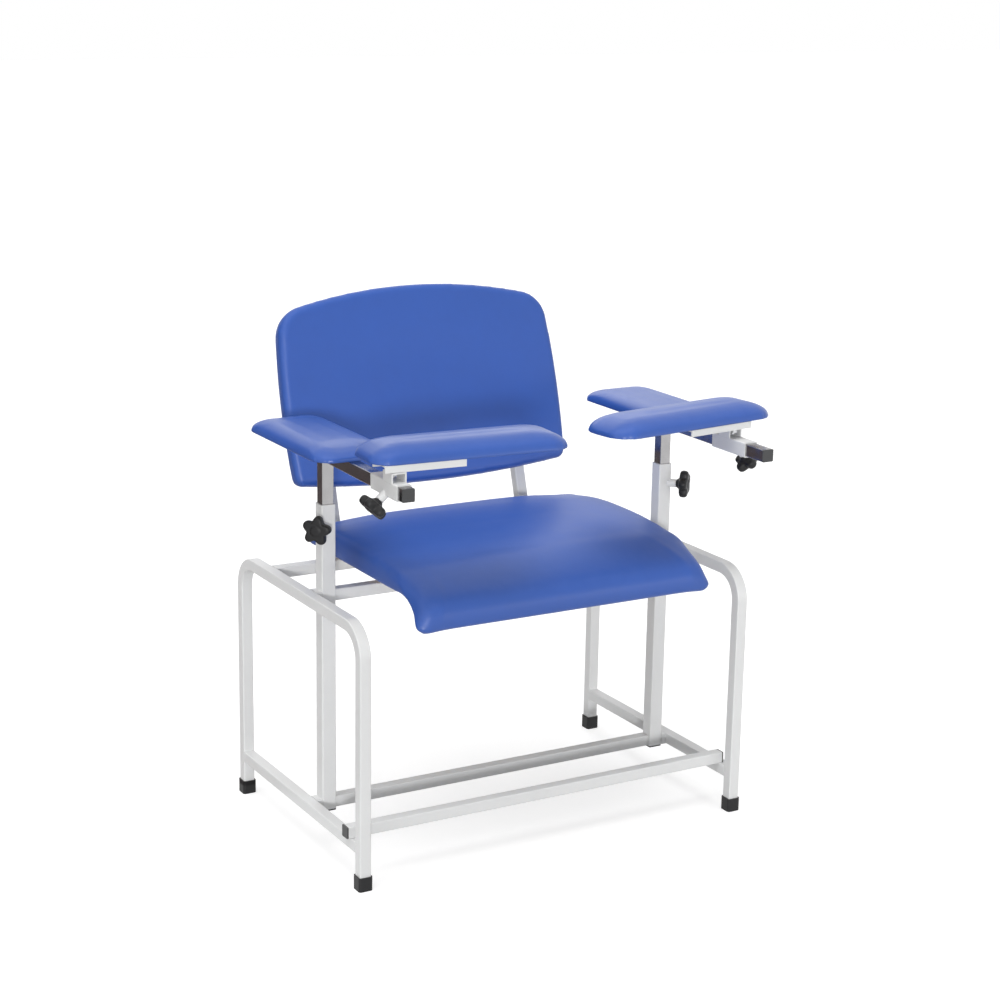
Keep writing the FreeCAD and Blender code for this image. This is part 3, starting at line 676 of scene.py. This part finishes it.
def blend_colours(tree, share, first, second):
    node = add(tree, "Mix", {0: share}, data_type="RGBA")
    first, second = [value if isinstance(value, bpy.types.NodeSocket) else (*value, 1)
                     for value in (first, second)]
    feed(tree, node, {6: first, 7: second})
    return node.outputs[2]


# %% [markdown]
# The grain group makes a height. Rounded cells give the pebbles of embossed
# vinyl or the skin of moulded plastic, and a broader noise underneath keeps the
# cells from looking printed. The same group, with large soft cells and little
# height, is the orange peel of powder paint.

# %% Grain group
grain, given, put = new_group(
    "surface grain",
    [("Cells per metre", "Float", 700), ("Softness", "Float", 0.5)],
    [("Height", "Float")])
place = add(grain, "TexCoord").outputs["Object"]
cells = add(grain, "TexVoronoi", {"Vector": place, "Scale": given[0], "Smoothness": given[1]},
            feature="SMOOTH_F1")
broad = sum_up(grain, "MULTIPLY", given[0], 0.3)
wander = add(grain, "TexNoise", {"Vector": place, "Scale": broad, "Detail": 4.0, "Roughness": 0.6})
pebbles = sum_up(grain, "MULTIPLY", cells.outputs["Distance"], 0.6)
swells = sum_up(grain, "MULTIPLY", wander.outputs[0], 0.7)
grain.links.new(sum_up(grain, "ADD", pebbles, swells), put[0])
print("built", grain.name)

# %% [markdown]
# Paint and plastic wear at their edges. A Bevel node gives the direction that
# the surface would face if its edges were rounded. Where that differs from the
# real direction there is an edge. Noise breaks the mask up, because no edge
# wears evenly.

# %% Edge wear group
edge_wear, given, put = new_group(
    "edge wear",
    [("Width", "Float", 0.0012), ("Patches per metre", "Float", 60)],
    [("Mask", "Float")])
real = add(edge_wear, "NewGeometry").outputs["Normal"]
rounded = add(edge_wear, "Bevel", {"Radius": given[0]}, samples=4).outputs[0]
alike = add(edge_wear, "VectorMath", {0: real, 1: rounded}, operation="DOT_PRODUCT").outputs["Value"]
sharp = remap(edge_wear, alike, 0.995, 0.93, 0, 1)
place = add(edge_wear, "TexCoord").outputs["Object"]
patch = add(edge_wear, "TexNoise", {"Vector": place, "Scale": given[1], "Detail": 5.0}).outputs[0]
patch = remap(edge_wear, patch, 0.42, 0.66, 0, 1)
edge_wear.links.new(sum_up(edge_wear, "MULTIPLY", sharp, patch), put[0])
print("built", edge_wear.name)

# %% [markdown]
# Nothing that is used has one even colour. This group lets the colour drift a
# little from place to place and lays a thin veil of dust on faces that look up.
# It also hands out the drift as a value, so that a finish can be glossier in
# some places than in others.

# %% Tone and dust group
tone, given, put = new_group(
    "tone and dust",
    [("Colour", "Color", (0.5, 0.5, 0.5, 1)), ("Drift", "Float", 0.06), ("Dust", "Float", 0.05)],
    [("Colour", "Color"), ("Drift", "Float")])
place = add(tone, "TexCoord").outputs["Object"]
slow = add(tone, "TexNoise", {"Vector": place, "Scale": 5.0, "Detail": 3.0}).outputs[0]
fast = add(tone, "TexNoise", {"Vector": place, "Scale": 45.0, "Detail": 5.0}).outputs[0]
drift = sum_up(tone, "ADD", sum_up(tone, "MULTIPLY", slow, 0.7), sum_up(tone, "MULTIPLY", fast, 0.3))
gain = remap(tone, drift, 0.3, 0.7, -1, 1)
gain = add(tone, "Math", {0: gain, 1: given[1], 2: 1}, operation="MULTIPLY_ADD").outputs[0]
shaded = add(tone, "VectorMath", {0: given[0], "Scale": gain}, operation="SCALE").outputs[0]
facing = add(tone, "SeparateXYZ", {0: add(tone, "NewGeometry").outputs["Normal"]}).outputs[2]
settled = sum_up(tone, "MULTIPLY", remap(tone, facing, 0.35, 1.0, 0, 1), given[2])
settled = sum_up(tone, "MULTIPLY", settled, remap(tone, fast, 0.35, 0.65, 0.3, 1))
tone.links.new(blend_colours(tone, settled, shaded, (0.62, 0.60, 0.57)), put[0])
tone.links.new(drift, put[1])
print("built", tone.name)

# %% [markdown]
# Hairline scratches are thin lines in random directions. The borders of very
# stretched cells are such lines. Two layers, turned against each other, cross
# at odd angles, and noise keeps only some of them.

# %% Hairline scratch group
scratches, given, put = new_group(
    "hairline scratches",
    [("Lines per metre", "Float", 30), ("Share", "Float", 0.3)],
    [("Mask", "Float")])
place = add(scratches, "TexCoord").outputs["Object"]
layers = []
for angle, stretch in ((0.5, (1.0, 0.12, 1.0)), (2.1, (0.15, 1.0, 0.6))):
    wires = {"Vector": place, "Rotation": (angle, angle * 0.7, angle), "Scale": stretch}
    turned_place = add(scratches, "Mapping", wires).outputs[0]
    lines = add(scratches, "TexVoronoi", {"Vector": turned_place, "Scale": given[0]},
                feature="DISTANCE_TO_EDGE").outputs["Distance"]
    layers.append(remap(scratches, lines, 0.0, 0.006, 1, 0))
both = sum_up(scratches, "MAXIMUM", layers[0], layers[1])
kept = add(scratches, "TexNoise", {"Vector": place, "Scale": 14.0, "Detail": 2.0}).outputs[0]
kept = sum_up(scratches, "LESS_THAN", remap(scratches, kept, 0.3, 0.7, 0, 1), given[1])
scratches.links.new(sum_up(scratches, "MULTIPLY", both, kept), put[0])
print("built", scratches.name)


# %% [markdown]
# Every finish starts in the same way: a Principled shader whose plain numbers
# are set on its own sockets, and groups that feed what changes over the
# surface. Three helpers make that start, place a group, and lay one bump on
# another.

# %% Start of a finish
def finish(name, **numbers):
    material = bpy.data.materials.new(name)
    material.use_nodes = True
    tree = material.node_tree
    shader = tree.nodes["Principled BSDF"]
    for label, value in numbers.items():
        shader.inputs[label.replace("_", " ")].default_value = value
    return material, tree, shader


def placed(tree, group, wires):
    node = tree.nodes.new("ShaderNodeGroup")
    node.node_tree = group
    feed(tree, node, wires)
    return node.outputs


def bumped(tree, height, distance, strength, under=None):
    wires = {"Height": height, "Distance": distance, "Strength": strength}
    if under is not None:
        wires["Normal"] = under
    return add(tree, "Bump", wires).outputs[0]


# %% [markdown]
# Upholstery vinyl is a knitted cloth with a skin of soft plastic. Its emboss is
# fine, so from a few metres it looks smooth with broad, soft highlights. The
# skin is a little glossier where hands and sleeves have rubbed it. Three bumps
# lie on each other: the emboss, faint ripples of the foam beneath, and a few
# hairlines. The colour is a strong blue that drifts very little. Arms rest on
# the four pads all day, so theirs is the same recipe with more gloss.

# %% Blue vinyl
def vinyl_finish(name, glossiest, dullest, coat):
    material, tree, shader = finish(name, Specular_IOR_Level=0.5, Coat_Roughness=0.26)
    colour, drift = placed(tree, tone, {"Colour": (0.028, 0.090, 0.375, 1), "Drift": 0.05, "Dust": 0.012})
    tree.links.new(colour, shader.inputs["Base Color"])
    tree.links.new(remap(tree, drift, 0.3, 0.7, glossiest, dullest), shader.inputs["Roughness"])
    place = add(tree, "TexCoord").outputs["Object"]
    ripple = add(tree, "TexNoise", {"Vector": place, "Scale": 22.0, "Detail": 2.0}).outputs[0]
    normal = bumped(tree, ripple, 0.002, 0.12)
    emboss = placed(tree, grain, {"Cells per metre": 1100, "Softness": 0.6})[0]
    normal = bumped(tree, emboss, 0.00012, 0.5, normal)
    lines = placed(tree, scratches, {"Lines per metre": 22, "Share": 0.22})[0]
    tree.links.new(bumped(tree, lines, 0.00005, 0.35, normal), shader.inputs["Normal"])
    tree.links.new(remap(tree, ripple, 0.3, 0.7, coat * 0.6, coat * 1.4), shader.inputs["Coat Weight"])
    return material


vinyl = vinyl_finish("blue_vinyl", 0.40, 0.50, 0.05)
rubbed_vinyl = vinyl_finish("blue_vinyl_rubbed", 0.34, 0.42, 0.12)

# %% [markdown]
# The frame is powder coated: paint sprayed on as dust and melted. It flows into
# a skin with a faint orange peel. At the edges it is thinner, so the wear mask
# lets a greyer undercoat through and roughens it.

# %% White powder paint
paint, tree, shader = finish("white_paint", Specular_IOR_Level=0.5)
colour, drift = placed(tree, tone, {"Colour": (0.74, 0.745, 0.745, 1), "Drift": 0.025, "Dust": 0.05})
worn = placed(tree, edge_wear, {"Width": 0.0010, "Patches per metre": 55})[0]
colour = blend_colours(tree, sum_up(tree, "MULTIPLY", worn, 0.35), colour, (0.50, 0.50, 0.50))
tree.links.new(colour, shader.inputs["Base Color"])
even_gloss = remap(tree, drift, 0.3, 0.7, 0.30, 0.40)
gloss = sum_up(tree, "ADD", even_gloss, sum_up(tree, "MULTIPLY", worn, 0.25))
tree.links.new(gloss, shader.inputs["Roughness"])
peel = placed(tree, grain, {"Cells per metre": 320, "Softness": 1.0})[0]
normal = bumped(tree, peel, 0.0001, 0.35)
lines = placed(tree, scratches, {"Lines per metre": 30, "Share": 0.3})[0]
tree.links.new(bumped(tree, lines, 0.00006, 0.3, normal), shader.inputs["Normal"])

# %% [markdown]
# The height tubes and arm beams are chrome plated. Chrome is a mirror with very
# fine polishing lines that run along the tube, so the lines are noise stretched
# along the length, and the roughness follows them. Finger marks dull it a bit.

# %% Chromed tube
chrome, tree, shader = finish("chrome_tube", Metallic=1.0)
colour = placed(tree, tone, {"Colour": (0.335, 0.33, 0.335, 1), "Drift": 0.18, "Dust": 0.02})["Colour"]
tree.links.new(colour, shader.inputs["Base Color"])
place = add(tree, "TexCoord").outputs["Object"]
drawn = add(tree, "Mapping", {"Vector": place, "Scale": (1.0, 0.03, 0.08)}).outputs[0]
drawn = add(tree, "TexNoise", {"Vector": drawn, "Scale": 900.0, "Detail": 3.0}).outputs[0]
smear = add(tree, "TexNoise", {"Vector": place, "Scale": 38.0, "Detail": 4.0}).outputs[0]
polish = remap(tree, drawn, 0.3, 0.7, 0.08, 0.16)
gloss = sum_up(tree, "ADD", polish, remap(tree, smear, 0.5, 0.75, 0.0, 0.14))
tree.links.new(gloss, shader.inputs["Roughness"])
normal = bumped(tree, drawn, 0.00004, 0.4)
lines = placed(tree, scratches, {"Lines per metre": 40, "Share": 0.35})[0]
tree.links.new(bumped(tree, lines, 0.00005, 0.4, normal), shader.inputs["Normal"])

# %% [markdown]
# Knobs, foot caps and tube plugs are moulded plastic. The mould leaves a fine
# matt texture, and edges that are gripped or kicked turn shiny and paler. The
# plugs are a greyer plastic than the knobs, so one recipe makes both.

# %% Moulded plastics
def moulded(name, colour, rub):
    material, tree, shader = finish(name, Specular_IOR_Level=0.32)
    even, drift = placed(tree, tone, {"Colour": (*colour, 1), "Drift": 0.12, "Dust": 0.05})
    worn = placed(tree, edge_wear, {"Width": 0.0008, "Patches per metre": 90})[0]
    rubbed = blend_colours(tree, sum_up(tree, "MULTIPLY", worn, 0.5), even, rub)
    tree.links.new(rubbed, shader.inputs["Base Color"])
    even_gloss = remap(tree, drift, 0.3, 0.7, 0.42, 0.52)
    gloss = sum_up(tree, "SUBTRACT", even_gloss, sum_up(tree, "MULTIPLY", worn, 0.15))
    tree.links.new(gloss, shader.inputs["Roughness"])
    texture = placed(tree, grain, {"Cells per metre": 1500, "Softness": 0.3})[0]
    tree.links.new(bumped(tree, texture, 0.00012, 0.5), shader.inputs["Normal"])
    return material


black_plastic = moulded("black_plastic", (0.009, 0.009, 0.010), (0.045, 0.045, 0.045))
grey_plastic = moulded("grey_plug_plastic", (0.055, 0.056, 0.058), (0.14, 0.14, 0.14))

# %% [markdown]
# Screws, bolts and nuts are zinc plated. The plating is dull, with a faint
# patchwork of crystals that catch the light differently. That is a cell pattern
# where each cell has its own roughness.

# %% Zinc plated steel
zinc, tree, shader = finish("zinc_steel", Metallic=1.0)
colour = placed(tree, tone, {"Colour": (0.55, 0.56, 0.57, 1), "Drift": 0.08, "Dust": 0.03})["Colour"]
place = add(tree, "TexCoord").outputs["Object"]
crystals = add(tree, "TexVoronoi", {"Vector": place, "Scale": 420.0})
shade = add(tree, "SeparateColor", {0: crystals.outputs["Color"]}).outputs[0]
colour = blend_colours(tree, remap(tree, shade, 0, 1, 0.0, 0.25), colour, (0.40, 0.41, 0.43))
tree.links.new(colour, shader.inputs["Base Color"])
tree.links.new(remap(tree, shade, 0, 1, 0.28, 0.46), shader.inputs["Roughness"])
lines = placed(tree, scratches, {"Lines per metre": 60, "Share": 0.4})[0]
tree.links.new(bumped(tree, lines, 0.00005, 0.4), shader.inputs["Normal"])

# %% [markdown]
# The cushions' boards are birch plywood. From below one sees the face veneer
# with long grain, and at the rim the glued layers. The layers alternate with
# depth, so a wave along the board's thickness draws them, and noise stretched
# along the board draws the grain.

# %% Plywood
wood, tree, shader = finish("plywood", Specular_IOR_Level=0.35)
place = add(tree, "TexCoord").outputs["Object"]
stretched = add(tree, "Mapping", {"Vector": place, "Scale": (1.0, 14.0, 14.0)}).outputs[0]
wires = {"Vector": stretched, "Scale": 9.0, "Detail": 6.0, "Distortion": 0.6}
fibre = add(tree, "TexNoise", wires).outputs[0]
veneer = blend_colours(tree, remap(tree, fibre, 0.35, 0.65, 0, 1), (0.58, 0.41, 0.24), (0.46, 0.29, 0.15))
layer = add(tree, "TexWave", {"Vector": place, "Scale": 100.0, "Distortion": 0.4},
            bands_direction="Z").outputs[1]
colour = blend_colours(tree, sum_up(tree, "MULTIPLY", layer, 0.25), veneer, (0.36, 0.22, 0.11))
colour = placed(tree, tone, {"Colour": colour, "Drift": 0.08, "Dust": 0.03})["Colour"]
tree.links.new(colour, shader.inputs["Base Color"])
tree.links.new(remap(tree, fibre, 0.3, 0.7, 0.55, 0.7), shader.inputs["Roughness"])
tree.links.new(bumped(tree, fibre, 0.0002, 0.4), shader.inputs["Normal"])

# %% [markdown]
# Each piece gets the finish that the model's record names for it. The plugs in
# the tube ends are the one exception: the record calls them black plastic, and
# the photograph shows them a shade greyer, so they get the greyer recipe.

# %% Finishes on the pieces
finishes = {"blue_vinyl": vinyl, "white_paint": paint, "chrome_tube": chrome,
            "black_plastic": black_plastic, "zinc_steel": zinc, "plywood": wood}
grey_plugs = ("left_beam_plugs", "right_beam_plugs", "tube_end_plugs")
for entry in frame["record"]["subparts"]:
    material = grey_plastic if entry["node"] in grey_plugs else finishes[entry["material_slot"]]
    mesh_owner = nodes[entry["node"]]
    for slot in mesh_owner.material_slots:
        slot.link = "OBJECT"
        slot.material = material
for piece in scene.objects:
    if piece.name.endswith("_cover"):
        piece.data.materials.append(rubbed_vinyl if "pad" in piece.name else vinyl)
for piece in knobs:
    piece.data.materials.append(black_plastic)

# %% [markdown]
# The room is a plain studio: a pale floor and an even white surround. The
# background must be white without throwing more light on the chair. A Light
# Path node tells which ray is asking. A camera ray, or one that a shiny surface
# sends on, sees white of strength 1, and all others get a dimmer light. The
# floor does the same with a glow of its own that only such rays see, so that it
# is near white and still shows the chair's shadow.

# %% Floor and surround
unseen_light = 0.18  # the surround's strength for all rays but the ones that show it
floor_glow = 0.66
floor_half = 30


def seen_ray(tree):
    path = add(tree, "LightPath").outputs
    shiny = sum_up(tree, "MAXIMUM", path["Is Glossy Ray"], path["Is Transmission Ray"])
    return sum_up(tree, "MAXIMUM", path["Is Camera Ray"], shiny)


world = bpy.data.worlds.new("white surround")
scene.world = world
world.use_nodes = True
background = world.node_tree.nodes["Background"]
background.inputs["Color"].default_value = (1, 1, 1, 1)
strength = remap(world.node_tree, seen_ray(world.node_tree), 0, 1, unseen_light, 1.0)
world.node_tree.links.new(strength, background.inputs["Strength"])

floor_mesh = bpy.data.meshes.new("studio_floor")
floor_corners = [(x * floor_half, y * floor_half, 0) for x, y in ((-1, -1), (1, -1), (1, 1), (-1, 1))]
floor_mesh.from_pydata(floor_corners, [], [(0, 1, 2, 3)])
floor = bpy.data.objects.new("studio_floor", floor_mesh)
scene.collection.objects.link(floor)
pale, tree, shader = finish("pale_floor", Specular_IOR_Level=0.0, Roughness=0.9)
colour = placed(tree, tone, {"Colour": (0.52, 0.52, 0.52, 1), "Drift": 0.004, "Dust": 0.0})["Colour"]
tree.links.new(colour, shader.inputs["Base Color"])
shader.inputs["Emission Color"].default_value = (1, 1, 1, 1)
tree.links.new(sum_up(tree, "MULTIPLY", seen_ray(tree), floor_glow), shader.inputs["Emission Strength"])
floor_mesh.materials.append(pale)
floor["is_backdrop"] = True

# %% [markdown]
# Three distant lamps light the chair. Blender's sun shines on everything alike,
# so the floor stays even to the horizon. One hangs overhead and one is on the
# left. Both are very wide, which makes shadows with hardly an edge, and shiny
# surfaces don't mirror them, since so wide a lamp would lie as a grey veil over
# all the vinyl. The third stands low in front, beside the camera. It lights all
# that faces forward, and it throws the left pad's soft shadow on the lower
# backrest, which is where the photograph has it. That shadow gave the lamp's
# direction. The strengths are set so that a colour renders about as written.

# %% Lamps
too_wide_to_mirror = 45


def distant_lamp(name, toward_lamp, share_of_light, width_degrees):
    """share_of_light is how bright a white face that looks at the lamp becomes."""
    lamp = bpy.data.lights.new(name, "SUN")
    lamp.energy = share_of_light * math.pi
    lamp.angle = math.radians(width_degrees)
    holder = bpy.data.objects.new(name, lamp)
    holder.matrix_world = (-Vector(toward_lamp)).to_track_quat("-Z", "Y").to_matrix().to_4x4()
    holder.visible_glossy = width_degrees < too_wide_to_mirror
    scene.collection.objects.link(holder)


distant_lamp("overhead_lamp", (-0.12, -0.05, 1.0), 0.71, 50)
distant_lamp("front_lamp", (-0.45, -0.89, 0.139), 0.45, 6)
distant_lamp("left_lamp", (-0.85, -0.15, 0.50), 0.23, 60)

# %% [markdown]
# Vinyl also shows broad, soft highlights. In a studio they are the mirror
# images of softboxes, which are lamps behind a sheet of white cloth. One stands
# behind the chair and lies as a pale sheen on the tops of the seat and the
# right pads. The other stands low in front and draws the faint light line
# along the seat's front roll. Each is a lit rectangle turned toward the chair.

# %% Softboxes
def softbox(name, size, watts, place, aim):
    lamp = bpy.data.lights.new(name, "AREA")
    lamp.shape = "RECTANGLE"
    lamp.size, lamp.size_y = size
    lamp.energy = watts
    holder = bpy.data.objects.new(name, lamp)
    holder.location = place
    holder.rotation_euler = (Vector(aim) - Vector(place)).to_track_quat("-Z", "Y").to_euler()
    scene.collection.objects.link(holder)


softbox("rear_softbox", (2.2, 0.9), 9, (1.35, 2.65, 2.44), (0, -0.2, 0.88))
softbox("front_softbox", (2.0, 0.7), 17, (2.1, -3.7, 0.95), (0, -0.3, 0.6))
scene.view_settings.view_transform = "Standard"

# %% [markdown]
# Chrome shows only what it mirrors, and in a white room it would look like
# white paint. Photographers stand a dark card beside it. This card is seen by
# mirrored rays alone: it casts no shadow and no camera sees it. It stands
# behind the chair on its left, where the photograph's tubes turn dark. A second
# sheet lies at its foot and reaches up to the chair, because the left side of
# the seat mirrors the floor there.

# %% Dark card for the chrome
card_foot, card_top = 0.02, 2.4
near_corner, far_corner = (-2.6, 0.5), (-0.5, 2.9)
sheet_corners = [(-1.2, -0.3), (-0.1, 0.5), (-0.1, 2.9)]
card_corners = [(*near_corner, card_foot), (*far_corner, card_foot)]
card_corners += [(*far_corner, card_top), (*near_corner, card_top)]
card_corners += [(*corner, card_foot) for corner in sheet_corners]
card_mesh = bpy.data.meshes.new("dark_card")
card_mesh.from_pydata(card_corners, [], [(0, 1, 2, 3), (0, 4, 5, 6, 1)])
card = bpy.data.objects.new("dark_card", card_mesh)
scene.collection.objects.link(card)
dull, tree, shader = finish("dark_card", Roughness=1.0, Specular_IOR_Level=0.0)
colour = placed(tree, tone, {"Colour": (0.30, 0.25, 0.25, 1), "Drift": 0.4, "Dust": 0.0})["Colour"]
tree.links.new(colour, shader.inputs["Base Color"])
card_mesh.materials.append(dull)
card.visible_camera = False
card.visible_diffuse = False
card.visible_shadow = False
card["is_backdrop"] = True

# %% [markdown]
# Last comes a check of size: the dressed chair's box must be the solid model's
# box, apart from the little that soft covers may stand proud.

# %% Size at the end
seen_low, seen_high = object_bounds()
growth = (seen_high - seen_low) - (cad_high - cad_low)
print("grown by", [round(v * 1000, 1) for v in growth], "mm")
